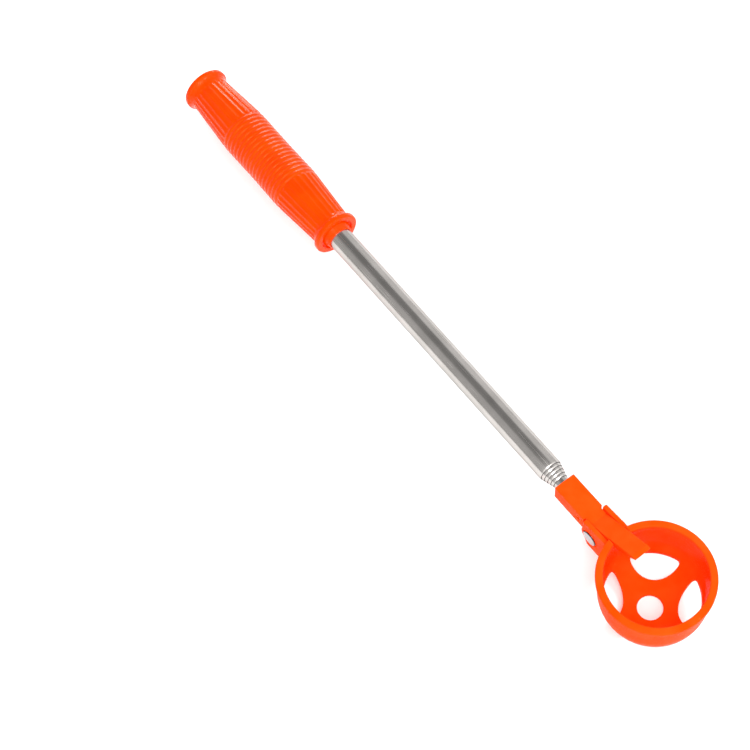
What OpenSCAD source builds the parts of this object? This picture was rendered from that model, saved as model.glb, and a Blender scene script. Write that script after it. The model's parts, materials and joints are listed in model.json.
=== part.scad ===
// Telescopic golf ball retriever.
// +X runs along the shaft from the butt of the grip to the scoop, and +Z is the side the scoop opens to.
// The origin is the centre of the flat butt face of the grip.

/* [Grip] */
// Length of the moulded grip along the shaft
grip_len = 122.8; // [118:0.1:130]
// Radius of the flanges at both ends of the grip
flange_r = 13.05; // [12.5:0.05:13.4]
// Radius of the grip's ringed middle
grip_r = 13.7; // [13.2:0.05:14.5]
// Radius of the grip beside its flanges
neck_r = 11.15; // [10.8:0.05:11.5]
// Number of rings round the middle of the grip
ring_count = 17; // [8:1:18]
// Number of lengthwise flutes at each end of the grip
flute_count = 24; // [12:1:32]

/* [Telescopic shaft] */
// Outer diameter of the largest tube
tube_d = 13; // [12.6:0.1:13.2]
// Difference in outer diameter between one tube and the next
tube_step = 1; // [0.95:0.01:1]
// Wall thickness of every tube
tube_wall = 0.3; // [0.25:0.01:0.3]
// Where the largest tube ends
shaft_end = 298.4; // [295:0.1:300]
// How far each closed tube stands out of the next larger one
ring_gap = 1.8; // [1.6:0.05:2]
// How much of the smallest tube shows between the next larger tube and the socket block
tip_gap = 2.6; // [2:0.1:3]
// How far each tube slides out of the next larger one
travel = 250; // [200:1:250]

/* [Head] */
// Width of the socket block
block_w = 11.9; // [11.6:0.1:12.4]
// Width of the retaining tongue and of the hinge lug under it
tongue_w = 9.5; // [9:0.1:9.6]
// Distance from the hinge axis to the centre of the rim
hinge_reach = 38.7; // [38:0.1:39.5]
// Radius of the rivet's shank
rivet_r = 2; // [1.6:0.1:2.2]

/* [Scoop] */
// Outer radius of the scoop's rolled rim
rim_r = 28.9; // [28.4:0.1:29.4]
// Outer radius of the scoop's wall
cup_r = 27.2; // [26.9:0.1:27.4]
// Thickness of the scoop's wall
cup_wall = 1.9; // [1.6:0.1:2.1]
// Depth from the rim to the level where the wall turns into the round bottom
cup_straight = 17.6; // [17:0.1:18.5]
// Radius of the round hole at the lowest point of the scoop
drain_r = 6.5; // [6:0.1:7]

/* [Hidden] */

// Colours
plastic = [1, 0.28, 0.04];
steel = [0.76, 0.76, 0.78];
brass = [0.8, 0.66, 0.36];
nylon = [0.9, 0.88, 0.82];

// Smoothness of round walls, and how far a cutter runs past a face
fine = 96;
small = 32;
cut = 1;

// Grip stations along the shaft
flange_edge_r = 0.95;
flange_back_r = 0.45;
butt_rim_t = 2.7;
butt_flare_end = 6.4;
butt_flare_r = 5.4;
front_rim_t = 2.9;
front_flare_end = 5.3;
front_flare_r = 2.7;
neck_len = 1;
ring_start = 37.5;
ring_end = 86.6;
crown_len = 3;
waist = 0.25;
butt_taper_start = butt_flare_end + neck_len;
front_taper_end = grip_len - front_flare_end - neck_len;
ring_pitch = (ring_end - ring_start) / ring_count;
groove_r = 1.05;
groove_depth = 0.5;
flute_r = 2.2;
flute_depth = 0.45;
flute_rise = 0.15;
grip_bore_start = 17;
collar_depth = 1.6;
collar_gap_r = 9.6;
collar_r = 8.4;
collar_end_r = 7.3;
collar_rise = 3;
collar_edge = 0.4;
glue_gap = 0.05;

// Nested tubes: every mouth is rolled in to guide the next tube, whose bush cannot pass it
tube_count = 6;
mouth_len = 4;
bush_len = 10;
bush_slit = 0.8;
bush_play = 0.03;
running = 0.05;
end_play = 0.3;
tube_1_base = 18;
base_plug_len = 10;
tip_depth = 20;
tip_plug_len = tip_depth + 5;
function tube_r(k) = (tube_d - (k - 1) * tube_step) / 2;
function tube_end(k) = shaft_end + ring_gap * (k - 1);
function tube_base(k) = k == 1 ? tube_1_base : tube_end(k - 1) - mouth_len - travel - end_play - bush_len;
function bore_r(k) = tube_r(k) - tube_wall;
function bush_r(k) = bore_r(k - 1) - running;
tip_r = tube_r(tube_count);

// Head stations along the shaft
block_start = tube_end(tube_count - 1) + tip_gap;
block_end = 329.7;
block_top = 5.7;
block_bottom = -4.9;
socket_end = block_start + tip_depth;
pin_x = 325.9;
pin_r = 1;
pin_sink = 1;
hinge_x = 336.5;
hinge_z = -3;
lug_r = 5;
bend_x = 334.3;
tongue_end_x = 364.7;
tongue_end_z = 20.3;
tongue_land = 2.4;
tongue_land_rise = 0.1;
tongue_edge = 0.8;
tongue_nose = 5.6;
tongue_t = 3.6;
tongue_root = 3;
spring_slot_w = 3.4;
spring_slot_r = 4.2;

// Scoop stations
rim_x = hinge_x + hinge_reach;
rim_z = 12.5;
bowl_z = rim_z - cup_straight;
lip_h = 3.6;
lip_round = 1.1;
cup_in_r = cup_r - cup_wall;
window_r = 23.7;
window_cut_r = 15.45;
window_cut_at = 28.85;
ear_gap = 0.3;
ear_in = tongue_w / 2 + ear_gap;
ear_t = 2.35;
ear_out = ear_in + ear_t;
ear_round = 6.3;
notch_w = 2 * ear_in;
notch_z = 6.4;
ledge_t = 1.8;
ledge_start = 6.6;
ledge_drop = 2.45;

// Hinge hardware
rivet_clear = 0.05;
rivet_head_r = 4.4;
rivet_head_t = 1.1;
washer_r = 4.2;
washer_t = 0.6;
tail_r = 3.2;
tail_t = 0.9;
wire_r = 0.4;
wire_sides = 8;
coil_r = 2.9;
coil_pitch = 0.85;
coil_start = 90;
coil_end = 270 + 360 * 2;
coil_mid = (coil_start + coil_end) / 2;
coil_steps = 60;
short_leg = 2.6;
long_leg = 10;

module along_x() {
    rotate([0, 90, 0]) children();
}

module along_y() {
    rotate([-90, 0, 0]) children();
}

// A plate lying in the XZ plane, centred across Y between y0 and y1
module side_plate(y0, y1) {
    translate([0, y1, 0]) rotate([90, 0, 0]) linear_extrude(y1 - y0) children();
}

// Half section of the grip, with the shaft's axis as the vertical axis
module grip_section() {
    difference() {
        union() {
            body_section();
            polygon([[0, grip_len - collar_depth - cut], [collar_r, grip_len - collar_depth - cut],
                     [collar_r, grip_len - collar_depth], [collar_end_r, grip_len + collar_rise - collar_edge],
                     [collar_end_r - collar_edge, grip_len + collar_rise], [0, grip_len + collar_rise]]);
        }
        translate([0, grip_bore_start]) square([tube_r(1) + glue_gap, grip_len]);
    }
}

// The grip without its bore and its collar, with the ring grooves and the recess round the collar
module body_section() {
    difference() {
        union() {
            polygon([[0, butt_rim_t], [neck_r, butt_flare_end], [neck_r, butt_taper_start],
                     [grip_r - waist / 2, ring_start], [grip_r, ring_start + crown_len],
                     [grip_r - waist, (ring_start + ring_end) / 2], [grip_r, ring_end - crown_len],
                     [grip_r - waist / 2, ring_end], [neck_r, front_taper_end],
                     [neck_r, grip_len - front_flare_end], [0, grip_len - front_rim_t]]);
            flange_section(butt_rim_t, butt_flare_end, butt_flare_r);
            translate([0, grip_len]) mirror([0, 1]) flange_section(front_rim_t, front_flare_end, front_flare_r);
        }
        for (i = [0 : ring_count])
            translate([grip_r + groove_r - groove_depth, ring_start + i * ring_pitch])
                circle(r = groove_r, $fn = small);
        translate([0, grip_len - collar_depth]) square([collar_gap_r, collar_depth + cut]);
    }
}

// A flange whose flat face is at height 0, with a rounded rim that is flared at its back into the neck
module flange_section(rim_t, flare_end, flare_r) {
    square([flange_r - flange_edge_r, rim_t]);
    translate([flange_r - flange_edge_r, flange_edge_r]) circle(r = flange_edge_r, $fn = small);
    translate([0, flange_edge_r]) square([flange_r, rim_t - flange_edge_r - flange_back_r]);
    translate([flange_r - flange_back_r, rim_t - flange_back_r]) circle(r = flange_back_r, $fn = small);
    difference() {
        translate([0, flange_edge_r]) square([flange_r - flange_back_r, flare_end - flange_edge_r]);
        translate([neck_r + flare_r, flare_end]) circle(r = flare_r, $fn = fine);
    }
}

// One lengthwise flute: a thin cylinder sunk into the taper between two stations
module flute(x0, r0, x1, r1) {
    slope = atan2(r1 - r0, x1 - x0);
    reach = sqrt(pow(x1 - x0, 2) + pow(r1 - r0, 2));
    sink = flute_r - flute_depth;
    translate([x0, 0, r0 + sink]) rotate([0, -slope, 0]) along_x() cylinder(r = flute_r, h = reach, $fn = small);
}

module grip() {
    color(plastic) difference() {
        along_x() rotate_extrude($fn = fine) grip_section();
        for (i = [0 : flute_count - 1]) rotate([360 / flute_count * i, 0, 0]) {
            flute(butt_taper_start, neck_r + flute_rise, ring_start, grip_r - waist / 2);
            flute(ring_end, grip_r - waist / 2, front_taper_end, neck_r + flute_rise);
        }
    }
}

module base_plug() {
    color(nylon) translate([tube_base(1), 0, 0]) along_x() cylinder(r = bore_r(1), h = base_plug_len, $fn = fine);
}

// Half section of a tube whose mouth is rolled in to the stated inner radius
module tube_section(r, len, mouth_r) {
    roll = tube_wall / 2;
    difference() {
        union() {
            square([r, len - roll]);
            square([r - roll, len]);
            translate([r - roll, len - roll]) circle(r = roll, $fn = small);
        }
        translate([0, -cut]) square([r - tube_wall, len - mouth_len + cut]);
        translate([0, -cut]) square([mouth_r, len + 2 * cut]);
    }
}

module tube(k) {
    len = tube_end(k) - tube_base(k);
    mouth_r = tube_r(k + 1) + running;
    color(steel) translate([tube_base(k), 0, 0]) along_x()
        rotate_extrude($fn = fine) tube_section(tube_r(k), len, mouth_r);
}

// The last tube runs on into the socket block, where the cross pin holds it
module tip_tube() {
    len = socket_end - tube_base(tube_count);
    color(steel) difference() {
        translate([tube_base(tube_count), 0, 0]) along_x() difference() {
            cylinder(r = tip_r, h = len, $fn = fine);
            translate([0, 0, -cut]) cylinder(r = tip_r - tube_wall, h = len + 2 * cut, $fn = fine);
        }
        cross_pin(pin_r, block_w);
    }
}

// Spring sleeve on the base of tube k, running in the bore of tube k - 1
module bush(k, play) {
    color(brass) difference() {
        translate([tube_base(k), 0, 0]) along_x() difference() {
            cylinder(r = bush_r(k), h = bush_len, $fn = fine);
            translate([0, 0, -cut]) cylinder(r = tube_r(k) + play, h = bush_len + 2 * cut, $fn = fine);
        }
        translate([tube_base(k) - cut, 0, -bush_slit / 2])
            cube([bush_len + 2 * cut, tube_d, bush_slit]);
    }
}

module cross_pin(r, len) {
    translate([pin_x, -len / 2, 0]) along_y() cylinder(r = r, h = len, $fn = small);
}

module tip_plug() {
    color(steel) difference() {
        translate([socket_end - tip_plug_len, 0, 0]) along_x()
            cylinder(r = tip_r - tube_wall, h = tip_plug_len, $fn = fine);
        cross_pin(pin_r, block_w);
    }
}

module tip_pin() {
    color(steel) cross_pin(pin_r, block_w - 2 * pin_sink);
}

// Side outline of the retaining tongue: a ramp over the rim that ends in a short land and a raked nose
module tongue_outline() {
    ramp_end = tongue_end_x - tongue_land;
    edge_z = tongue_end_z - tongue_edge;
    polygon([[block_end - cut, block_top], [bend_x, block_top], [ramp_end, tongue_end_z - tongue_land_rise],
             [tongue_end_x, tongue_end_z], [tongue_end_x, edge_z],
             [tongue_end_x - tongue_nose, edge_z - tongue_nose],
             [hinge_x + tongue_root, block_top - tongue_t], [hinge_x, hinge_z], [block_end - cut, block_bottom]]);
}

module bracket() {
    color(plastic) difference() {
        union() {
            translate([block_start, -block_w / 2, block_bottom])
                cube([block_end - block_start, block_w, block_top - block_bottom]);
            side_plate(-tongue_w / 2, tongue_w / 2) tongue_outline();
            translate([hinge_x, -tongue_w / 2, hinge_z]) along_y() cylinder(r = lug_r, h = tongue_w, $fn = fine);
        }
        translate([block_start - cut, 0, 0]) along_x()
            cylinder(r = tip_r, h = socket_end - block_start + cut, $fn = fine);
        cross_pin(pin_r, block_w + 2 * cut);
        hinge_hole(tongue_w, rivet_clear);
        spring_slot();
    }
}

// A hole along the hinge axis, with radial clearance round the rivet
module hinge_hole(len, play) {
    translate([hinge_x, -len / 2 - cut, hinge_z]) along_y()
        cylinder(r = rivet_r + play, h = len + 2 * cut, $fn = fine);
}

// Slot in the lug for the coils, open at the bottom and towards the scoop
module spring_slot() {
    translate([hinge_x, -spring_slot_w / 2, hinge_z]) along_y()
        cylinder(r = spring_slot_r, h = spring_slot_w, $fn = fine);
    translate([hinge_x, -spring_slot_w / 2, hinge_z - lug_r - cut])
        cube([lug_r + cut, spring_slot_w, lug_r + cut]);
}

// Half section of the scoop: straight wall with a rolled rim, closing in a hemisphere
module scoop_section() {
    straight = rim_z - bowl_z;
    difference() {
        union() {
            square([cup_r, straight]);
            intersection() {
                circle(r = cup_r, $fn = fine);
                translate([0, -cup_r]) square([cup_r, cup_r]);
            }
            translate([0, straight - lip_h]) square([rim_r, lip_h - lip_round]);
            translate([0, straight - lip_round]) square([rim_r - lip_round, lip_round]);
            translate([rim_r - lip_round, straight - lip_round]) circle(r = lip_round, $fn = small);
        }
        square([cup_in_r, straight + cut]);
        intersection() {
            circle(r = cup_in_r, $fn = fine);
            translate([0, -cup_r]) square([cup_r, cup_r + cut]);
        }
    }
}

// Lens-shaped drain window, the overlap of two discs, cut straight down through the bowl
module window(angle) {
    intersection() {
        cylinder(r = window_r, h = cup_r + cut, $fn = fine);
        rotate([0, 0, angle]) translate([window_cut_at, 0, 0])
            cylinder(r = window_cut_r, h = cup_r + cut, $fn = fine);
    }
}

// Side outline of one hinge ear, measured from the hinge axis
module ear_outline() {
    polygon([[-5.6, 10.4], [9.9, 12.4], [15, 12.4], [15, -10], [-2.6, -10], [-4, -4.9]]);
    circle(r = ear_round, $fn = fine);
    polygon([[-5.6, 10.4], [-ear_round, 0], [0, 0]]);
}

module ears() {
    for (side = [-1, 1]) {
        y0 = side > 0 ? ear_in : -ear_out;
        translate([hinge_x, 0, hinge_z]) side_plate(y0, y0 + ear_t) ear_outline();
    }
}

// Ledge between the ears that the spring's long leg lifts
module ledge() {
    translate([hinge_x + ledge_start, -ear_in - cut, hinge_z - ledge_drop])
        cube([hinge_reach - cup_r, 2 * (ear_in + cut), ledge_t]);
}

module cup_inside() {
    translate([rim_x, 0, bowl_z]) {
        cylinder(r = cup_in_r, h = cup_straight + cut, $fn = fine);
        sphere(r = cup_in_r, $fn = fine);
    }
}

module scoop() {
    color(plastic) difference() {
        union() {
            translate([rim_x, 0, bowl_z]) rotate_extrude($fn = fine) scoop_section();
            difference() {
                union() {
                    ears();
                    ledge();
                }
                cup_inside();
            }
        }
        translate([rim_x, 0, bowl_z - cup_r - cut]) {
            for (angle = [45 : 90 : 315]) window(angle);
            cylinder(r = drain_r, h = cup_r, $fn = fine);
        }
        translate([hinge_x, -notch_w / 2, notch_z]) cube([hinge_reach - cup_in_r / 2, notch_w, cup_straight]);
        hinge_hole(2 * ear_out, 0);
    }
}

module hinge_rivet() {
    body_len = 2 * ear_out + washer_t;
    color(steel) translate([hinge_x, 0, hinge_z]) along_y() {
        translate([0, 0, -ear_out]) cylinder(r = rivet_r, h = body_len, $fn = fine);
        rivet_dome(-ear_out, -rivet_head_t, rivet_head_r);
        rivet_dome(ear_out + washer_t, tail_t, tail_r);
    }
}

// Low dome on the plane at height z, rising to h on the side of h's sign
module rivet_dome(z, h, r) {
    ball_r = (r * r + h * h) / (2 * abs(h));
    rise = sign(h);
    translate([0, 0, z]) intersection() {
        translate([0, 0, h - rise * ball_r]) sphere(r = ball_r, $fn = fine);
        translate([0, 0, rise > 0 ? 0 : -r]) cylinder(r = r, h = r, $fn = fine);
    }
}

module rivet_washer() {
    color(steel) translate([hinge_x, ear_out, hinge_z]) along_y() difference() {
        cylinder(r = washer_r, h = washer_t, $fn = fine);
        translate([0, 0, -cut]) cylinder(r = rivet_r, h = washer_t + 2 * cut, $fn = fine);
    }
}

// Torsion spring on the rivet: close coils between a short leg on the lug and a long one under the scoop's ledge
function coil_point(angle) = [hinge_x + coil_r * cos(angle), (angle - coil_mid) / 360 * coil_pitch,
                              hinge_z + coil_r * sin(angle)];
function spring_path() = concat(
    [coil_point(coil_start) + [-short_leg, 0, 0], coil_point(coil_start) + [-short_leg / 2, 0, 0]],
    [for (i = [0 : coil_steps]) coil_point(coil_start + (coil_end - coil_start) * i / coil_steps)],
    [coil_point(coil_end) + [long_leg / 2, 0, 0], coil_point(coil_end) + [long_leg, 0, 0]]);
function unit(v) = v / norm(v);
function heading(path, i) = unit(path[min(i + 1, len(path) - 1)] - path[max(i - 1, 0)]);
function wire_ring(centre, along) =
    let (side = unit([0, 1, 0] - along * along.y), up = cross(along, side))
    [for (i = [0 : wire_sides - 1])
        centre + wire_r * (cos(360 * i / wire_sides) * side + sin(360 * i / wire_sides) * up)];

module hinge_spring() {
    path = spring_path();
    last = len(path) - 1;
    points = [for (i = [0 : last]) each wire_ring(path[i], heading(path, i))];
    sides = [for (i = [0 : last - 1], j = [0 : wire_sides - 1])
        let (k = (j + 1) % wire_sides, a = i * wire_sides, b = a + wire_sides) [a + j, b + j, b + k, a + k]];
    near_cap = [for (j = [0 : wire_sides - 1]) j];
    far_cap = [for (j = [wire_sides - 1 : -1 : 0]) last * wire_sides + j];
    color(steel) polyhedron(points, concat(sides, [near_cap, far_cap]));
}

grip();
base_plug();
tube(1);  // tube_1
tube(2);  // tube_2
tube(3);  // tube_3
tube(4);  // tube_4
tube(5);  // tube_5
tip_tube();  // tube_6
bush(2, 0);  // bush_2
bush(3, 0);  // bush_3
bush(4, 0);  // bush_4
bush(5, 0);  // bush_5
bush(6, bush_play);  // bush_6
tip_plug();
bracket();
tip_pin();
scoop();
hinge_rivet();
rivet_washer();
hinge_spring();
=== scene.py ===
"""Looks of a telescopic golf ball retriever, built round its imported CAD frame.

Lengths are in millimetres in the frame's axes: +X runs from the butt of the grip to the scoop, +Z is the
side that the scoop opens to, and Y is the axis of the hinge rivet. `add_piece` turns them into metres.
"""

import json
import math

import bpy
import numpy as np
from mathutils import Matrix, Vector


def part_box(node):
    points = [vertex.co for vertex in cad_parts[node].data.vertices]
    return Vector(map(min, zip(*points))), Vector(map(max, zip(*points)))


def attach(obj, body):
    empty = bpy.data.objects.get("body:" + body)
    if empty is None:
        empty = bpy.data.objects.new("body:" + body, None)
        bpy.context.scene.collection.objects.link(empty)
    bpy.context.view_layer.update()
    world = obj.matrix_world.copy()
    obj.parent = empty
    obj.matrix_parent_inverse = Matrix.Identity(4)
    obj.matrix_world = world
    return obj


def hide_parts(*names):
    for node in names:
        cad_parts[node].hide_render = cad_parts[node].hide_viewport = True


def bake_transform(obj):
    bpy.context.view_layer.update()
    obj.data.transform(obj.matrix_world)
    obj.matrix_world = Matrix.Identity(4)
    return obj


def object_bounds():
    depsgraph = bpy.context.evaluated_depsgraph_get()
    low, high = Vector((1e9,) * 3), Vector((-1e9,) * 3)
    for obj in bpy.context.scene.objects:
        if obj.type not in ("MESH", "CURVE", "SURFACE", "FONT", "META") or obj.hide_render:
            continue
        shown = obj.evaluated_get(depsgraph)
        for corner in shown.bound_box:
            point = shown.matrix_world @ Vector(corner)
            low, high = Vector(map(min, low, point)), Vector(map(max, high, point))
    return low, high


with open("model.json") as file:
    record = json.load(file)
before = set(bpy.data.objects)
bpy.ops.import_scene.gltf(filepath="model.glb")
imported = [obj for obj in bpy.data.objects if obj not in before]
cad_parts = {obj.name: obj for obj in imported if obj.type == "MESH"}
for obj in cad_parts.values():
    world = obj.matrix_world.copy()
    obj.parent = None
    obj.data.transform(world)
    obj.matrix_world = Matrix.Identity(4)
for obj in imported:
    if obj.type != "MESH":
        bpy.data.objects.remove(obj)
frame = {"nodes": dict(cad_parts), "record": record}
cad_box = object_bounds()

MM = 0.001
TUBES = range(1, 7)
RUN_FIT = 0.05


def node_box(node):
    """Lowest and highest corner of a CAD node, in millimetres."""
    low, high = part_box(node)
    return np.array(low) / MM, np.array(high) / MM


def joint_place(name):
    """A point on a joint's axis, in millimetres."""
    joint = next(j for j in frame["record"]["behaviour"]["joints"] if j["name"] == name)
    return np.array(joint["pos_m"]) / MM


# ---------------------------------------------------------------- driving dimensions

# GRIP_LEN ends at the front flange's face, out of which the collar stands.
# A flange has a rim thickness (RIM_T), and the flare is the cove behind it.
GRIP_HIGH = node_box("grip")[1]
COLLAR_RISE = 3.0
GRIP_LEN = GRIP_HIGH[0] - COLLAR_RISE
GRIP_R = GRIP_HIGH[1]
FLANGE_R = GRIP_R - 0.65
NECK_R = 11.15
BUTT_RIM_T, BUTT_FLARE_END, BUTT_FLARE_R = 2.7, 6.4, 5.4
FRONT_RIM_T, FRONT_FLARE_END, FRONT_FLARE_R = 2.9, 5.3, 2.7
NECK_LEN = 1
BUTT_TAPER_START, FRONT_TAPER_END = BUTT_FLARE_END + NECK_LEN, GRIP_LEN - (FRONT_FLARE_END + NECK_LEN)
RING_START, RING_END, RING_COUNT = 37.5, 86.6, 17
FLUTE_COUNT, FLUTE_STEPS = 24, 10
BORE_START = 17.0

HINGE = joint_place("scoop_hinge")
BRACKET_LOW, BRACKET_HIGH = node_box("bracket")
PIN_X = (node_box("tip_pin")[0][0] + node_box("tip_pin")[1][0]) / 2
SCOOP_LOW, SCOOP_HIGH = node_box("scoop")
RIM_R = (SCOOP_HIGH[1] - SCOOP_LOW[1]) / 2
RIM_X = SCOOP_HIGH[0] - RIM_R
RIM_Z = SCOOP_HIGH[2]
CUP_R = 27.2
CUP_WALL = 1.9
CUP_IN_R = CUP_R - CUP_WALL
BOWL_Z = RIM_Z - 17.6
RIVET_R = 2.0


# ---------------------------------------------------------------- meshes

def add_piece(name, points, faces, body, material, nodes, normals=None):
    """A mesh piece that rides on a body and stands for the named CAD nodes."""
    mesh = bpy.data.meshes.new(name)
    mesh.from_pydata((np.asarray(points) * MM).tolist(), [], [list(map(int, face)) for face in faces])
    mesh.validate()
    mesh.polygons.foreach_set("use_smooth", [True] * len(mesh.polygons))
    if normals is None:
        mesh.set_sharp_from_angle(angle=math.radians(40))
    else:
        mesh.normals_split_custom_set_from_vertices(normals.tolist())
    mesh.materials.append(material)
    piece = bpy.data.objects.new(name, mesh)
    bpy.context.scene.collection.objects.link(piece)
    if body:
        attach(piece, body)
    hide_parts(*nodes)
    return piece


def arc(centre, radius, start, end, steps=8):
    """Points on an arc in a section, from the start angle to the end angle in degrees."""
    angles = np.radians(np.linspace(start, end, steps + 1))
    return [(centre[0] + radius * math.cos(a), centre[1] + radius * math.sin(a)) for a in angles]


def second_finish(piece, material, chosen):
    """Give another material to the faces whose centre, in millimetres, is chosen."""
    piece.data.materials.append(material)
    for face in piece.data.polygons:
        if chosen(np.array(face.center) / MM):
            face.material_index = 1


def turn_faces(rings, around):
    """Quads between successive rings of points, and round each ring."""
    i, j = np.meshgrid(np.arange(rings - 1), np.arange(around), indexing="ij")
    k = (j + 1) % around
    quads = np.stack([i * around + j, i * around + k, (i + 1) * around + k, (i + 1) * around + j], axis=-1)
    return quads.reshape(-1, 4)


def lathe(section, around, axis="x", relief=None):
    """Points and faces of a section of (along, radius) pairs turned round an axis.

    A section that starts and ends at radius 0 is closed there by a fan, and any other is closed into a
    ring. relief(along, radius, angle) may lower the radius.
    """
    capped = section[0][1] == 0 and section[-1][1] == 0
    rows = np.array(section[1:-1] if capped else list(section) + [section[0]])
    angle = np.linspace(0, 2 * math.pi, around, endpoint=False)
    along, radius = (np.repeat(rows[:, [c]], around, axis=1) for c in (0, 1))
    if relief:
        radius = radius - relief(along, radius, np.broadcast_to(angle, radius.shape))
    across, up = radius * np.sin(angle), radius * np.cos(angle)
    order = (along, across, up) if axis == "x" else (across, along, -up)
    points = np.stack(order, axis=-1).reshape(-1, 3)
    faces = turn_faces(len(rows), around)
    if not capped:
        ring_points = (len(rows) - 1) * around
        return points[:ring_points], faces % ring_points
    ends = [(section[0][0], 0, 0), (section[-1][0], 0, 0)]
    if axis == "y":
        ends = [(0, section[0][0], 0), (0, section[-1][0], 0)]
    first, last = len(points), len(points) + 1
    j = np.arange(around)
    k = (j + 1) % around
    base = (len(rows) - 1) * around
    fans = [[first, b, a] for a, b in zip(j, k)] + [[last, base + a, base + b] for a, b in zip(j, k)]
    return np.vstack([points, ends]), faces.tolist() + fans


def smooth_max(a, b, blend):
    """The larger of two fields, rounded where they are within blend of each other."""
    share = np.clip(0.5 + 0.5 * (a - b) / blend, 0, 1)
    return b + (a - b) * share + blend * share * (1 - share)


def smooth_min(a, b, blend):
    """The smaller of two fields, rounded where they are within blend of each other."""
    return -smooth_max(-a, -b, blend)


def cut_from(solid, cutter, blend):
    """The solid less the cutter, with the cut's edges rounded."""
    return smooth_max(solid, -cutter, blend)


def box_field(x, y, z, low, high, blend):
    """Distance to a box with rounded edges."""
    sides = [np.abs(p - (a + b) / 2) - (b - a) / 2 for p, a, b in zip((x, y, z), low, high)]
    return smooth_max(smooth_max(sides[0], sides[1], blend), sides[2], blend)


def outline_field(x, z, corners, blend):
    """Distance to a convex outline in the XZ plane, whose corners go anticlockwise."""
    field = None
    for (x0, z0), (x1, z1) in zip(corners, corners[1:] + corners[:1]):
        length = math.hypot(x1 - x0, z1 - z0)
        side = ((x - x0) * (z1 - z0) - (z - z0) * (x1 - x0)) / length
        field = side if field is None else smooth_max(field, side, blend)
    return field


def gradient(field, points, reach=0.01):
    """Slope of a field along X, Y and Z at each point, by central differences."""
    slopes = []
    for axis in range(3):
        shift = np.zeros(3)
        shift[axis] = reach
        slopes.append((field(*(points + shift).T) - field(*(points - shift).T)) / (2 * reach))
    return np.stack(slopes, axis=-1)


def surface_of(field, low, high, step):
    """Quads, points and normals of the surface where a field is 0, by naive surface nets.

    Each grid cell that the surface crosses gets one point, which is then moved onto the surface.
    """
    low = np.asarray(low, dtype=float)
    counts = np.ceil((np.asarray(high) - low) / step).astype(int) + 1
    axes = [low[a] + step * np.arange(counts[a]) for a in range(3)]
    value = field(*np.meshgrid(*axes, indexing="ij"))
    total = np.zeros(tuple(counts - 1) + (3,))
    crossings = np.zeros(tuple(counts - 1))
    edges = []
    for along in range(3):
        near = [slice(None)] * 3
        far = [slice(None)] * 3
        near[along], far[along] = slice(0, -1), slice(1, None)
        near_value, far_value = value[tuple(near)], value[tuple(far)]
        crossed = (near_value < 0) != (far_value < 0)
        index = np.argwhere(crossed)
        a, b = near_value[crossed], far_value[crossed]
        place = index.astype(float)
        place[:, along] += a / (a - b)
        corners = []
        for back_a, back_b in ((1, 1), (0, 1), (0, 0), (1, 0)):
            cell = index.copy()
            cell[:, (along + 1) % 3] -= back_a
            cell[:, (along + 2) % 3] -= back_b
            np.add.at(total, tuple(cell.T), place)
            np.add.at(crossings, tuple(cell.T), 1)
            corners.append(cell)
        edges.append((corners, a < 0))
    used = crossings > 0
    number = np.cumsum(used.ravel()).reshape(used.shape) - 1
    points = low + step * total[used] / crossings[used][:, None]
    faces = []
    for corners, outward in edges:
        quads = np.stack([number[tuple(c.T)] for c in corners], axis=-1)
        quads[~outward] = quads[~outward][:, ::-1]
        faces.append(quads)
    for _ in range(3):
        slope = gradient(field, points)
        move = -slope * (field(*points.T) / np.maximum((slope**2).sum(axis=1), 0.05))[:, None]
        points = points + np.clip(move, -step / 2, step / 2)
    slope = gradient(field, points)
    normals = slope / np.maximum(np.linalg.norm(slope, axis=1), 1e-6)[:, None]
    return points, np.vstack(faces), normals


# ---------------------------------------------------------------- materials

def node(tree, kind, **settings):
    """A new node, with its attributes and its unlinked inputs set by name."""
    made = tree.nodes.new(kind)
    for name, value in settings.items():
        if hasattr(made, name):
            setattr(made, name, value)
        else:
            made.inputs[name.replace("_", " ")].default_value = value
    return made


def noise(tree, place, scale, detail=4.0):
    """A noise value whose features are 1/scale metres long along each axis."""
    mapping = node(tree, "ShaderNodeMapping")
    mapping.inputs["Scale"].default_value = scale
    made = node(tree, "ShaderNodeTexNoise", Scale=1.0, Detail=detail, Roughness=0.5)
    tree.links.new(place, mapping.inputs["Vector"])
    tree.links.new(mapping.outputs["Vector"], made.inputs["Vector"])
    return made.outputs["Fac"]


def remap(tree, value, low, high, to_low=0.0, to_high=1.0):
    """A value stretched from the range low..high to the range to_low..to_high, and clamped there."""
    made = node(tree, "ShaderNodeMapRange")
    for name, number in (("From Min", low), ("From Max", high), ("To Min", to_low), ("To Max", to_high)):
        made.inputs[name].default_value = number
    tree.links.new(value, made.inputs["Value"])
    return made.outputs["Result"]


def combine(tree, operation, a, b):
    """The result of a Math node on two values, each a number or a socket."""
    made = node(tree, "ShaderNodeMath", operation=operation)
    for socket, value in zip(made.inputs, (a, b)):
        if isinstance(value, (int, float)):
            socket.default_value = value
        else:
            tree.links.new(value, socket)
    return made.outputs[0]


def mix(tree, share, a, b):
    """A colour between a and b, each an RGB triple or a socket."""
    made = node(tree, "ShaderNodeMix", data_type="RGBA")
    colour_a, colour_b = (s for s in made.inputs if s.type == "RGBA")
    factor = made.inputs[0]
    for socket, value in ((factor, share), (colour_a, a), (colour_b, b)):
        if isinstance(value, tuple):
            socket.default_value = (*value, 1.0)
        else:
            tree.links.new(value, socket)
    return next(s for s in made.outputs if s.type == "RGBA")


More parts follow.
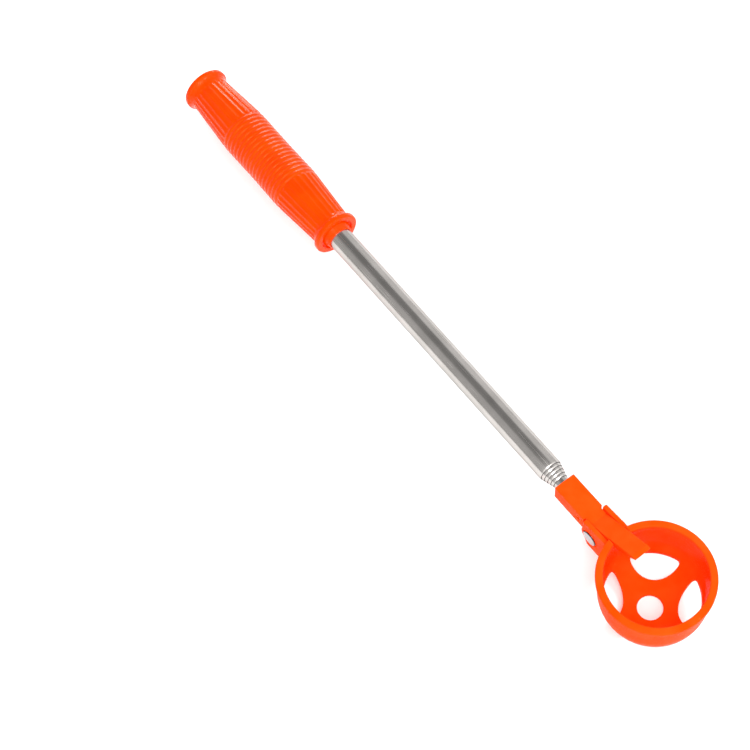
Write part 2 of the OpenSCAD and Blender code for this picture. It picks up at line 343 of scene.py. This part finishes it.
def surface(name, light, dark, worn, metallic, roughness, grain, grain_bump, scratch, scratch_bump,
            edge_wear, ior=1.45, tint=(1.0, 1.0, 1.0)):
    """A procedural finish: mottled colour, grain, fine scratches and worn edges.

    light and dark are the ends of the mottle, worn is the colour of rubbed edges, roughness is a
    (low, high) pair, and grain and scratch are the features per metre along X, Y and Z.
    """
    material = bpy.data.materials.new(name)
    material.use_nodes = True
    tree = material.node_tree
    shader = tree.nodes["Principled BSDF"]
    shader.inputs["Metallic"].default_value = metallic
    shader.inputs["IOR"].default_value = ior
    shader.inputs["Specular Tint"].default_value = (*tint, 1.0)
    place = node(tree, "ShaderNodeTexCoord").outputs["Object"]
    mottle_scale, patch_scale, scuff_roughness = (90.0, 90.0, 90.0), (400.0, 400.0, 400.0), 0.12

    mottle = remap(tree, noise(tree, place, mottle_scale, detail=3.0), 0.35, 0.65)
    fine = noise(tree, place, grain, detail=5.0)
    scuffs = remap(tree, noise(tree, place, scratch, detail=2.0), 0.62, 0.7)
    edge = remap(tree, node(tree, "ShaderNodeNewGeometry").outputs["Pointiness"], 0.52, 0.6)
    patches = remap(tree, noise(tree, place, patch_scale), 0.4, 0.6)
    rubbed = combine(tree, "MULTIPLY", combine(tree, "MULTIPLY", edge, patches), edge_wear)

    colour = mix(tree, mottle, light, dark)
    tree.links.new(mix(tree, rubbed, colour, worn), shader.inputs["Base Color"])

    low, high = roughness
    scuffed = combine(tree, "MULTIPLY", scuffs, scuff_roughness)
    uneven = combine(tree, "ADD", remap(tree, fine, 0.3, 0.7, low, high), scuffed)
    tree.links.new(uneven, shader.inputs["Roughness"])

    grain_relief = node(tree, "ShaderNodeBump", Strength=grain_bump, Distance=0.00005)
    scratch_relief = node(tree, "ShaderNodeBump", Strength=scratch_bump, Distance=0.00003)
    scratch_relief.invert = True
    tree.links.new(fine, grain_relief.inputs["Height"])
    tree.links.new(scuffs, scratch_relief.inputs["Height"])
    tree.links.new(grain_relief.outputs["Normal"], scratch_relief.inputs["Normal"])
    tree.links.new(scratch_relief.outputs["Normal"], shader.inputs["Normal"])
    return material


GRIP_PLASTIC = surface(
    "glossy_orange_plastic",
    light=(1.0, 0.052, 0.0), dark=(1.0, 0.042, 0.0), worn=(1.0, 0.16, 0.04),
    metallic=0.0, roughness=(0.12, 0.2), ior=1.26, tint=(1.0, 0.55, 0.3),
    grain=(2600.0, 2600.0, 2600.0), grain_bump=0.08,
    scratch=(160.0, 1500.0, 1500.0), scratch_bump=0.1, edge_wear=0.35)

HEAD_PLASTIC = surface(
    "moulded_orange_plastic",
    light=(1.0, 0.067, 0.004), dark=(1.0, 0.052, 0.001), worn=(1.0, 0.13, 0.03),
    metallic=0.0, roughness=(0.2, 0.3), ior=1.05, tint=(1.0, 0.55, 0.3),
    grain=(1900.0, 1900.0, 1900.0), grain_bump=0.15,
    scratch=(350.0, 1700.0, 900.0), scratch_bump=0.15, edge_wear=0.4)

TUBE_STEEL = surface(
    "drawn_stainless_tube",
    light=(0.585, 0.555, 0.53), dark=(0.515, 0.49, 0.465), worn=(0.78, 0.76, 0.73),
    metallic=1.0, roughness=(0.13, 0.22), tint=(0.5, 0.5, 0.5),
    grain=(14.0, 2400.0, 2400.0), grain_bump=0.18,
    scratch=(30.0, 2600.0, 2600.0), scratch_bump=0.15, edge_wear=0.6)

# Near-black steel used as painted shade: it darkens the shadowed gaps between the stepped tube mouths and
# the shadow gap under the rivet head's rim.
PAINTED_SHADE_STEEL = surface(
    "painted_shade_dark_steel",
    light=(0.09, 0.085, 0.08), dark=(0.03, 0.028, 0.026), worn=(0.5, 0.48, 0.46),
    metallic=1.0, roughness=(0.24, 0.4),
    grain=(800.0, 2400.0, 2400.0), grain_bump=0.3,
    scratch=(500.0, 2600.0, 2600.0), scratch_bump=0.3, edge_wear=0.8)

BUSH_BRASS = surface(
    "spring_brass",
    light=(0.78, 0.58, 0.29), dark=(0.66, 0.46, 0.2), worn=(0.88, 0.72, 0.42),
    metallic=1.0, roughness=(0.24, 0.38),
    grain=(60.0, 1800.0, 1800.0), grain_bump=0.25,
    scratch=(60.0, 2200.0, 2200.0), scratch_bump=0.25, edge_wear=0.5)

NYLON = surface(
    "natural_nylon",
    light=(0.82, 0.79, 0.71), dark=(0.74, 0.7, 0.61), worn=(0.88, 0.87, 0.83),
    metallic=0.0, roughness=(0.4, 0.55),
    grain=(1500.0, 1500.0, 1500.0), grain_bump=0.3,
    scratch=(500.0, 1500.0, 900.0), scratch_bump=0.2, edge_wear=0.3)

RIVET_STEEL = surface(
    "zinc_plated_steel",
    light=(0.5, 0.5, 0.51), dark=(0.4, 0.4, 0.42), worn=(0.66, 0.66, 0.66),
    metallic=1.0, roughness=(0.26, 0.4),
    grain=(2600.0, 2600.0, 2600.0), grain_bump=0.35,
    scratch=(1800.0, 400.0, 1200.0), scratch_bump=0.3, edge_wear=0.6)

SPRING_STEEL = surface(
    "drawn_spring_wire",
    light=(0.5, 0.5, 0.51), dark=(0.38, 0.38, 0.4), worn=(0.66, 0.66, 0.66),
    metallic=1.0, roughness=(0.22, 0.34),
    grain=(2200.0, 2200.0, 2200.0), grain_bump=0.3,
    scratch=(900.0, 2600.0, 900.0), scratch_bump=0.3, edge_wear=0.5)

FLOOR_FINISH = surface(
    "pale_floor",
    light=(0.93, 0.93, 0.93), dark=(0.92, 0.92, 0.92), worn=(0.93, 0.93, 0.93),
    metallic=0.0, roughness=(0.75, 0.85),
    grain=(300.0, 300.0, 300.0), grain_bump=0.02,
    scratch=(20.0, 20.0, 20.0), scratch_bump=0.0, edge_wear=0.0)


# ---------------------------------------------------------------- grip

def flange_section(start, direction, rim_t, flare_end, flare_r):
    """Outline of a flange from its flat face over its rounded rim and down the flare at its back."""
    edge_r, back_r, flare_start = 0.95, 0.45, 180 + 45
    face = arc((edge_r, FLANGE_R - edge_r), edge_r, 180, 90)
    back = arc((rim_t - back_r, FLANGE_R - back_r), back_r, 90, 20, 5)
    flare = arc((flare_end, NECK_R + flare_r), flare_r, flare_start, 270, 9)
    points = [(start + direction * x, r) for x, r in face + back + flare]
    return points if direction > 0 else points[::-1]


def ring_relief(along):
    """How far the ringed middle lies below its crown: rounded rings between narrow grooves."""
    depth, sharpness = 0.42, 1.4
    pitch = (RING_END - RING_START) / RING_COUNT
    phase = (along - RING_START) / pitch
    groove = depth * (0.5 + 0.5 * np.cos(2 * math.pi * phase)) ** sharpness
    inside = (along > RING_START - pitch / 2) & (along < RING_END + pitch / 2)
    return np.where(inside, groove, 0)


def flute_relief(along, radius, angle):
    """Depth of the lengthwise flutes, which run out beside the flanges and at the outermost rings."""
    flute_r, depth, soft, run_out = 2.2, 0.45, 0.12, 1.2
    turn = angle * FLUTE_COUNT / (2 * math.pi)
    across = np.abs(turn - np.round(turn)) * 2 * math.pi / FLUTE_COUNT * radius
    scallop = depth - (flute_r - np.sqrt(np.maximum(flute_r**2 - across**2, 0)))
    scallop = smooth_max(scallop, 0.0, soft) - soft / 4
    fade = np.zeros_like(along)
    for start, end in ((BUTT_TAPER_START - NECK_LEN, RING_START), (RING_END, FRONT_TAPER_END + NECK_LEN)):
        ramp = np.clip(np.minimum(along - start, end - along) / run_out, 0, 1)
        fade = np.maximum(fade, ramp * ramp * (3 - 2 * ramp))
    outer_skin = radius > NECK_R - 0.5
    return np.where(outer_skin, scallop * fade, 0)


def grip_profile():
    """Outline of the grip from the butt's centre along the outside and back through the bore."""
    crown_in, shoulder, waist = 3, 0.125, 0.25
    stations = [BUTT_TAPER_START, RING_START, RING_START + crown_in, (RING_START + RING_END) / 2,
                RING_END - crown_in, RING_END, FRONT_TAPER_END]
    radii = [NECK_R, GRIP_R - shoulder, GRIP_R, GRIP_R - waist, GRIP_R, GRIP_R - shoulder, NECK_R]
    flute_step, ring_step = 0.5, 0.24
    flutes = np.concatenate([np.arange(BUTT_FLARE_END + 0.3, RING_START - 1, flute_step),
                             np.arange(RING_END + 1, GRIP_LEN - FRONT_FLARE_END - 0.2, flute_step)])
    rings = np.arange(RING_START - 1, RING_END + 1, ring_step)
    outside = np.sort(np.concatenate([flutes, rings]))
    body = np.interp(outside, stations, radii) - ring_relief(outside)

    bore_r = node_box("tube_1")[1][1] + RUN_FIT
    gap_r, collar_r, collar_end_r, depth, edge = 9.6, 8.4, 7.3, 1.6, 0.4
    front, collar_end = GRIP_LEN, GRIP_LEN + COLLAR_RISE
    recess = (arc((front - edge, gap_r + edge), edge, 0, -90, 5)
              + arc((front - depth + edge, gap_r - edge), edge, 90, 180, 4)
              + arc((front - depth + edge, collar_r + edge - 0.1), edge, 180, 250, 4)
              + arc((collar_end - edge, collar_end_r - edge), edge, 75, 0, 6)
              + [(collar_end, bore_r + 0.1), (collar_end - 0.1, bore_r)])
    butt_face = [(0.0, r) for r in (0.0, 4.0, 8.0)]
    return (butt_face + flange_section(0, 1, BUTT_RIM_T, BUTT_FLARE_END, BUTT_FLARE_R)
            + list(zip(outside, body))
            + flange_section(front, -1, FRONT_RIM_T, FRONT_FLARE_END, FRONT_FLARE_R) + recess
            + [(BORE_START, bore_r), (BORE_START, 0.0)])


def add_grip():
    points, faces = lathe(grip_profile(), FLUTE_COUNT * FLUTE_STEPS, relief=flute_relief)
    add_piece("grip_moulding", points, faces, "handle", GRIP_PLASTIC, ["grip"])


# ---------------------------------------------------------------- shaft

def tube_section(start, end, radius, bore, mouth):
    """Section of a tube whose mouth is crimped to a short cone and rolled in to the given radius."""
    crimp_len, crimp, edge, rows = 0.75, 0.2, 0.05, 24
    lead, throat_start, throat_end = 5, 3.6, 4.0
    top = radius - crimp
    nose = (top - mouth) / 2
    shoulder = end - nose - crimp_len
    return ([(start, bore), (start, radius - edge), (start + edge, radius)]
            + list(zip(np.linspace(start + lead, shoulder, rows), [radius] * rows))
            + [(shoulder + edge, radius - 0.01), (end - nose - edge, top + 0.01)]
            + arc((end - nose, mouth + nose), nose, 90, -90, 10)
            + [(end - throat_start, mouth), (end - throat_end, bore)])


def tube_body(k):
    """The body of a tube: the first is fixed in the grip, and the last in the socket block."""
    return {TUBES[0]: "handle", TUBES[-1]: "head"}.get(k, f"section_{k}")


def add_tubes():
    wall, painted_shade_len, around = 0.3, 0.4, 128
    for k in TUBES:
        name = f"tube_{k}"
        low, high = node_box(name)
        radius = high[1]
        bore = radius - wall
        mouth = bore if k == TUBES[-1] else node_box(f"tube_{k + 1}")[1][1] + RUN_FIT
        points, faces = lathe(tube_section(low[0], high[0], radius, bore, mouth), around)
        tube = add_piece(f"drawn_{name}", points, faces, tube_body(k), TUBE_STEEL, [name])
        # Painted shade: the last stretch of each tube's mouth gets the near-black steel, standing in for
        # the shadowed gap to the next tube.
        painted_shade_from = high[0] - painted_shade_len
        second_finish(tube, PAINTED_SHADE_STEEL, lambda centre: centre[0] > painted_shade_from)


# ---------------------------------------------------------------- head

def bracket_field(x, y, z):
    """Socket block, hinge lug and the tongue that reaches over the rim."""
    hinge_x, _, hinge_z = HINGE
    block_end, block_low, block_top, half_w = hinge_x - 6.8, -4.9, 5.7, 5.95
    root_start, bend_x, tongue_half, lug_r = block_end - 3, hinge_x - 2.2, 4.75, 5.0
    tip_x, tip_z = BRACKET_HIGH[0], BRACKET_HIGH[2]
    round_edge, root_edge, ramp_edge, join, cut_edge = 0.55, 0.5, 0.3, 0.3, 0.3
    under_bend = (hinge_x + 3, block_top - 3.6)

    block = box_field(x, y, z, (BRACKET_LOW[0], -half_w, block_low), (block_end, half_w, block_top),
                      round_edge)
    root = outline_field(x, z, [(root_start, block_low), (hinge_x, hinge_z), under_bend,
                                (bend_x, block_top), (root_start, block_top)], root_edge)
    ramp = outline_field(x, z, [(bend_x, block_top - 3.8), under_bend, (tip_x - 5.6, tip_z - 6.4),
                                (tip_x, tip_z - 0.8), (tip_x, tip_z), (tip_x - 2.4, tip_z - 0.1),
                                (bend_x, block_top)], ramp_edge)
    lug = np.hypot(x - hinge_x, z - hinge_z) - lug_r
    side = smooth_min(smooth_min(root, ramp, join), lug, join)
    tongue = smooth_max(side, np.abs(y) - tongue_half, round_edge)
    solid = np.minimum(block, tongue)

    socket_r, socket_depth, socket_edge = 4.0, 20, 0.2
    pin_r, recess_r, recess_depth = 1.0, 1.25, 0.9
    slot_half, slot_r = 1.7, 4.2
    socket = smooth_max(np.hypot(y, z) - socket_r, x - (BRACKET_LOW[0] + socket_depth), socket_edge)
    pin_hole = np.hypot(x - PIN_X, z) - pin_r
    pin_recess = np.maximum(np.hypot(x - PIN_X, z) - recess_r, half_w - recess_depth - np.abs(y))
    rivet_hole = np.hypot(x - hinge_x, z - hinge_z) - (RIVET_R + RUN_FIT)
    slot_round = np.hypot(x - hinge_x, z - hinge_z) - slot_r
    slot_open = np.maximum(hinge_x - x, z - hinge_z)
    slot = np.maximum(np.abs(y) - slot_half, np.minimum(slot_round, slot_open))
    for cutter in (socket, pin_hole, pin_recess, rivet_hole, slot):
        solid = cut_from(solid, cutter, cut_edge)
    return solid


def add_bracket():
    margin, grid_step = 1, 0.32
    low, high = BRACKET_LOW - margin, BRACKET_HIGH + margin
    points, faces, normals = surface_of(bracket_field, low, high, grid_step)
    add_piece("bracket_moulding", points, faces, "head", HEAD_PLASTIC, ["bracket"], normals)


def cup_field(x, y, z):
    """Round-bottomed cup with a rolled rim, drain windows and a notch for the tongue."""
    straight = RIM_Z - BOWL_Z
    u, w = x - RIM_X, z - BOWL_Z
    ring = np.hypot(u, y)
    centre = np.where(w > 0, ring, np.hypot(ring, w))
    shell_edge, lip_h, lip_edge, lip_join = 0.9, 3.6, 1.1, 0.7
    shell = np.abs(centre - (CUP_R - CUP_WALL / 2)) - CUP_WALL / 2
    shell = smooth_max(shell, w - straight, shell_edge)
    lip = smooth_max(np.abs(ring - (RIM_R + CUP_IN_R) / 2) - (RIM_R - CUP_IN_R) / 2,
                     np.abs(w - straight + lip_h / 2) - lip_h / 2, lip_edge)
    cup = smooth_min(shell, lip, lip_join)

    notch_half, notch_z, notch_reach, notch_edge, cut_edge = 5.05, 6.4, 12, 0.4, 0.45
    above_rim = 9
    notch = box_field(x, y, z, (HINGE[0], -notch_half, notch_z),
                      (RIM_X - notch_reach, notch_half, RIM_Z + above_rim), notch_edge)
    cup = cut_from(cup, notch, cut_edge)

    window_ring, lens_centre, lens_r, lens_corner, drain_r = 23.7, 28.85, 15.45, 2.2, 6.5
    lens_at = lens_centre * math.sqrt(0.5)
    lens_circle = np.hypot(np.abs(u) - lens_at, np.abs(y) - lens_at) - lens_r
    lens = smooth_max(ring - window_ring, lens_circle, lens_corner)
    windows = np.maximum(np.minimum(lens, ring - drain_r), w)
    return cut_from(cup, windows, cut_edge), centre


def ear_field(x, y, z, centre):
    """The two hinge ears outside the cup, each with a rivet hole and a groove round the rivet's head."""
    a, b = x - HINGE[0], z - HINGE[2]
    around = np.hypot(a, b)
    outline = [(-2.6, -10.0), (15.0, -10.0), (15.0, 12.4), (9.9, 12.4),
               (-5.6, 10.4), (-6.3, 0.0), (-4.0, -4.9)]
    outline_edge, boss_r, plate_edge = 0.6, 6.3, 0.5
    ear_middle, ear_half, ear_outer, inset = 6.225, 1.175, 7.4, 0.4
    seat_r, seat_half, seat_depth, seat_edge, hole_edge = 4.7, 0.3, 0.3, 0.15, 0.2
    plate = smooth_min(outline_field(a, b, outline, outline_edge), around - boss_r, plate_edge)
    ear = smooth_max(plate, np.abs(np.abs(y) - ear_middle) - ear_half, plate_edge)
    ear = np.maximum(ear, CUP_IN_R + inset - centre)
    ear = cut_from(ear, around - RIVET_R, hole_edge)
    seat = np.maximum(np.abs(around - seat_r) - seat_half, ear_outer - seat_depth - np.abs(y))
    return cut_from(ear, seat, seat_edge)


def scoop_field(x, y, z):
    """The scoop: the cup, its two ears, and the ledge between them that the spring lifts."""
    cup, centre = cup_field(x, y, z)
    ear = ear_field(x, y, z, centre)
    hinge_x, _, hinge_z = HINGE
    ledge_half, ledge_edge, ear_join = 5.5, 0.4, 0.5
    ledge = box_field(x, y, z, (hinge_x + 6.6, -ledge_half, hinge_z - 2.45),
                      (RIM_X - CUP_R + 1, ledge_half, hinge_z - 0.65), ledge_edge)
    return smooth_min(smooth_min(cup, ear, ear_join), ledge, ledge_edge)


def add_scoop():
    margin, grid_step = 1.5, 0.45
    points, faces, normals = surface_of(scoop_field, SCOOP_LOW - margin, SCOOP_HIGH + margin, grid_step)
    add_piece("scoop_moulding", points, faces, "scoop_body", HEAD_PLASTIC, ["scoop"],
              normals)


# ---------------------------------------------------------------- hinge hardware

def dome(base, rise, radius, edge=0.25):
    """Section of a low rivet dome with a rounded edge, from its edge to its centre."""
    side = math.copysign(1.0, rise)
    foot = base + side * edge
    top = abs(rise) - edge
    break_edge, lip = 0.1, 0.05
    angles = np.radians(np.linspace(0, 90, 10))[:-1]
    edge_arc = [(base, radius - break_edge), (base + side * edge * 0.5, radius)]
    crown = [(foot + side * top * math.sin(a), (radius - lip) * math.cos(a)) for a in angles]
    return edge_arc + crown + [(base + rise, 0.0)]


def place_on_hinge(points):
    """Points that are centred on the origin, moved to the hinge."""
    return points + np.array([HINGE[0], 0, HINGE[2]])


def add_rivet():
    """A low-domed head whose outer band on the seen side gets the near-black steel as painted shade for
    the gap under its rim, and a smaller peened tail on the washer.
    """
    head_r, tail_r, painted_shade_r, around = 4.4, 3.2, 4.0, 64
    low, high = node_box("hinge_rivet")
    washer_low, washer_high = node_box("rivet_washer")
    head_base, tail_base = -washer_low[1], washer_high[1]
    head = dome(head_base, low[1] - head_base, head_r)
    tail = dome(tail_base, high[1] - tail_base, tail_r)
    section = head[::-1] + [(head_base, RIVET_R), (tail_base, RIVET_R)] + tail
    points, faces = lathe(section, around, axis="y")
    rivet = add_piece("rivet", place_on_hinge(points), faces, "scoop_body", RIVET_STEEL,
                      ["hinge_rivet"])
    # Painted shade: the head's outer band gets the near-black steel, standing in for the shadow under its
    # rim.
    second_finish(rivet, PAINTED_SHADE_STEEL,
                  lambda centre: math.hypot(centre[0] - HINGE[0], centre[2] - HINGE[2]) > painted_shade_r)


def add_washer():
    low, high = node_box("rivet_washer")
    outer, inner, edge, around = (high[0] - low[0]) / 2, 2.02, 0.12, 64
    section = [(low[1], inner), (low[1], outer - edge), (low[1] + edge, outer), (high[1] - edge, outer),
               (high[1], outer - edge), (high[1], inner)]
    points, faces = lathe(section, around, axis="y")
    add_piece("washer", place_on_hinge(points), faces, "scoop_body", RIVET_STEEL,
              ["rivet_washer"])


def add_pin():
    low, high = node_box("tip_pin")
    radius, edge, around = (high[0] - low[0]) / 2, 0.2, 32
    section = [(low[1], 0.0), (low[1], radius - edge), (low[1] + edge, radius), (high[1] - edge, radius),
               (high[1], radius - edge), (high[1], 0.0)]
    points, faces = lathe(section, around, axis="y")
    points = points + np.array([(low[0] + high[0]) / 2, 0, (low[2] + high[2]) / 2])
    add_piece("cross_pin", points, faces, "head", RIVET_STEEL, ["tip_pin"])


def add_spring():
    """Torsion spring: coils round the rivet, a short leg on the lug and a long one under the ledge."""
    wire_r, coil_r, pitch, around, steps = 0.4, 2.9, 0.85, 12, 150
    start, end = math.radians(90), math.radians(90 + 2.5 * 360)
    angles = np.linspace(start, end, steps)
    across = (angles - (start + end) / 2) / (2 * math.pi) * pitch
    coil = np.stack([HINGE[0] + coil_r * np.cos(angles), across, HINGE[2] + coil_r * np.sin(angles)],
                    axis=-1)
    first_step, short_len, long_len = 0.3, 2.6, 10.0
    short_leg = coil[0] + np.outer(np.linspace(-short_len, -first_step, 6), [1, 0, 0])
    long_leg = coil[-1] + np.outer(np.linspace(first_step, long_len, 16), [1, 0, 0])
    path = np.vstack([short_leg, coil, long_leg])
    along = np.gradient(path, axis=0)
    along /= np.linalg.norm(along, axis=1)[:, None]
    side = np.array([0, 1, 0]) - along * along[:, [1]]
    side /= np.linalg.norm(side, axis=1)[:, None]
    up = np.cross(along, side)
    turn = np.linspace(0, 2 * math.pi, around, endpoint=False)[None, :, None]
    rings = path[:, None] + wire_r * (np.cos(turn) * side[:, None] + np.sin(turn) * up[:, None])
    faces = turn_faces(len(path), around).tolist()
    faces += [list(range(around))[::-1], list(range(around * (len(path) - 1), around * len(path)))]
    spring = add_piece("torsion_spring", rings.reshape(-1, 3), faces, None, SPRING_STEEL,
                       ["hinge_spring"])
    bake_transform(spring)


def finish_hidden_nodes():
    """The pieces that stay CAD nodes get their finish in their own material slots."""
    looks = {"base_plug": NYLON, "tip_plug": RIVET_STEEL}
    looks.update({f"bush_{k}": BUSH_BRASS for k in TUBES[1:]})
    for name, material in looks.items():
        for material_slot in frame["nodes"][name].material_slots:
            material_slot.material = material


# ---------------------------------------------------------------- stage

def add_camera():
    """Camera at the photo's viewing angle; the columns are its right, up and backward directions."""
    right = (0.6065205, 0.79301808, -0.05705446)
    up = (-0.69165336, 0.56166057, 0.45404078)
    back = (0.39210779, -0.23592313, 0.88915227)
    place = (0.5762, -0.2605, 0.8495)
    data = bpy.data.cameras.new("camera")
    data.lens = 90.32
    data.sensor_width = 36.0
    camera = bpy.data.objects.new("camera", data)
    camera.matrix_world = Matrix.Translation(place) @ Matrix([right, up, back]).transposed().to_4x4()
    bpy.context.scene.collection.objects.link(camera)
    bpy.context.scene.camera = camera


def add_floor():
    """A wide, plain, thin disc whose top is level with the lowest point of the closed tool."""
    reach, depth, around = 3000.0, 20.0, 64
    top = cad_box[0][2] / MM
    angles = np.linspace(0, 2 * math.pi, around, endpoint=False)
    points = [(0.0, 0.0, top)]
    points += [(reach * math.cos(a), reach * math.sin(a), z) for z in (top, top - depth) for a in angles]
    following = [(j + 1) % around for j in range(around)]
    faces = [[0, 1 + j, 1 + k] for j, k in enumerate(following)]
    faces += [[1 + j, 1 + around + j, 1 + around + k, 1 + k] for j, k in enumerate(following)]
    mesh = bpy.data.meshes.new("floor")
    mesh.from_pydata((np.array(points) * MM).tolist(), [], faces)
    mesh.materials.append(FLOOR_FINISH)
    floor = bpy.data.objects.new("floor", mesh)
    bpy.context.scene.collection.objects.link(floor)


def add_world():
    """Studio dome: bright on the scoop's half, and dimmer with a dark strip overhead on the butt's half.

    The strip is there for the tubes, which mirror only that half. Its levels go by the angle about X.
    """
    horizon, overhead = (0.9, 0.9, 0.9), (1.5, 1.5, 1.5)
    world = bpy.data.worlds.new("studio")
    bpy.context.scene.world = world
    world.use_nodes = True
    tree = world.node_tree
    direction = node(tree, "ShaderNodeTexCoord").outputs["Generated"]
    split = node(tree, "ShaderNodeSeparateXYZ")
    tree.links.new(direction, split.inputs[0])
    lean = combine(tree, "ARCTAN2", split.outputs["Y"], split.outputs["Z"])
    share = remap(tree, lean, -math.pi / 2, math.pi / 2)
    ramp = node(tree, "ShaderNodeValToRGB")
    stops = [(0.0, 0.5), (0.1, 0.62), (0.31, 0.55), (0.38, 0.3),
             (0.5, 0.26), (0.67, 0.3), (0.7, 0.8), (1.0, 0.85)]
    elements = ramp.color_ramp.elements
    while len(elements) < len(stops):
        elements.new(0.5)
    for element, (position, level) in zip(elements, stops):
        element.position = position
        element.color = (level, level, level, 1.0)
    tree.links.new(share, ramp.inputs["Fac"])
    tubes_half = remap(tree, split.outputs["X"], 0.05, -0.15)
    scoop_half = mix(tree, remap(tree, split.outputs["Z"], 0.15, 0.5), horizon, overhead)
    level = mix(tree, tubes_half, scoop_half, ramp.outputs["Color"])
    tree.links.new(level, tree.nodes["Background"].inputs["Color"])


def add_softbox(name, place, aim, size, power):
    """A rectangular area light at a place, facing its aim; place, aim and size are in metres."""
    data = bpy.data.lights.new(name, "AREA")
    data.shape = "RECTANGLE"
    data.size, data.size_y = size
    data.energy = power
    light = bpy.data.objects.new(name, data)
    away = np.array(place) - np.array(aim)
    back = away / np.linalg.norm(away)
    right = np.cross((0.0, 1.0, 0.0), back)
    right /= np.linalg.norm(right)
    up = np.cross(back, right)
    light.matrix_world = Matrix.Translation(place) @ Matrix([right, up, back]).transposed().to_4x4()
    bpy.context.scene.collection.objects.link(light)


def add_lights():
    """Key and glint above the scoop near the camera, and a rim light low behind the butt."""
    middle, grip = (0.25, 0.0, 0.0), (0.06, 0.0, 0.0)
    add_softbox("key", (0.674, -0.32, 1.07), middle, (0.6, 0.6), 9.0)
    add_softbox("glint", (0.68, 0.3, 0.95), middle, (0.28, 0.28), 3.0)
    add_softbox("rim", (-0.92, 0.78, 0.24), grip, (0.42, 0.7), 8.5)


add_camera()
add_grip()
add_tubes()
add_bracket()
add_scoop()
add_rivet()
add_washer()
add_pin()
add_spring()
finish_hidden_nodes()
add_floor()
add_world()
add_lights()
bpy.context.scene.view_settings.view_transform = "Standard"
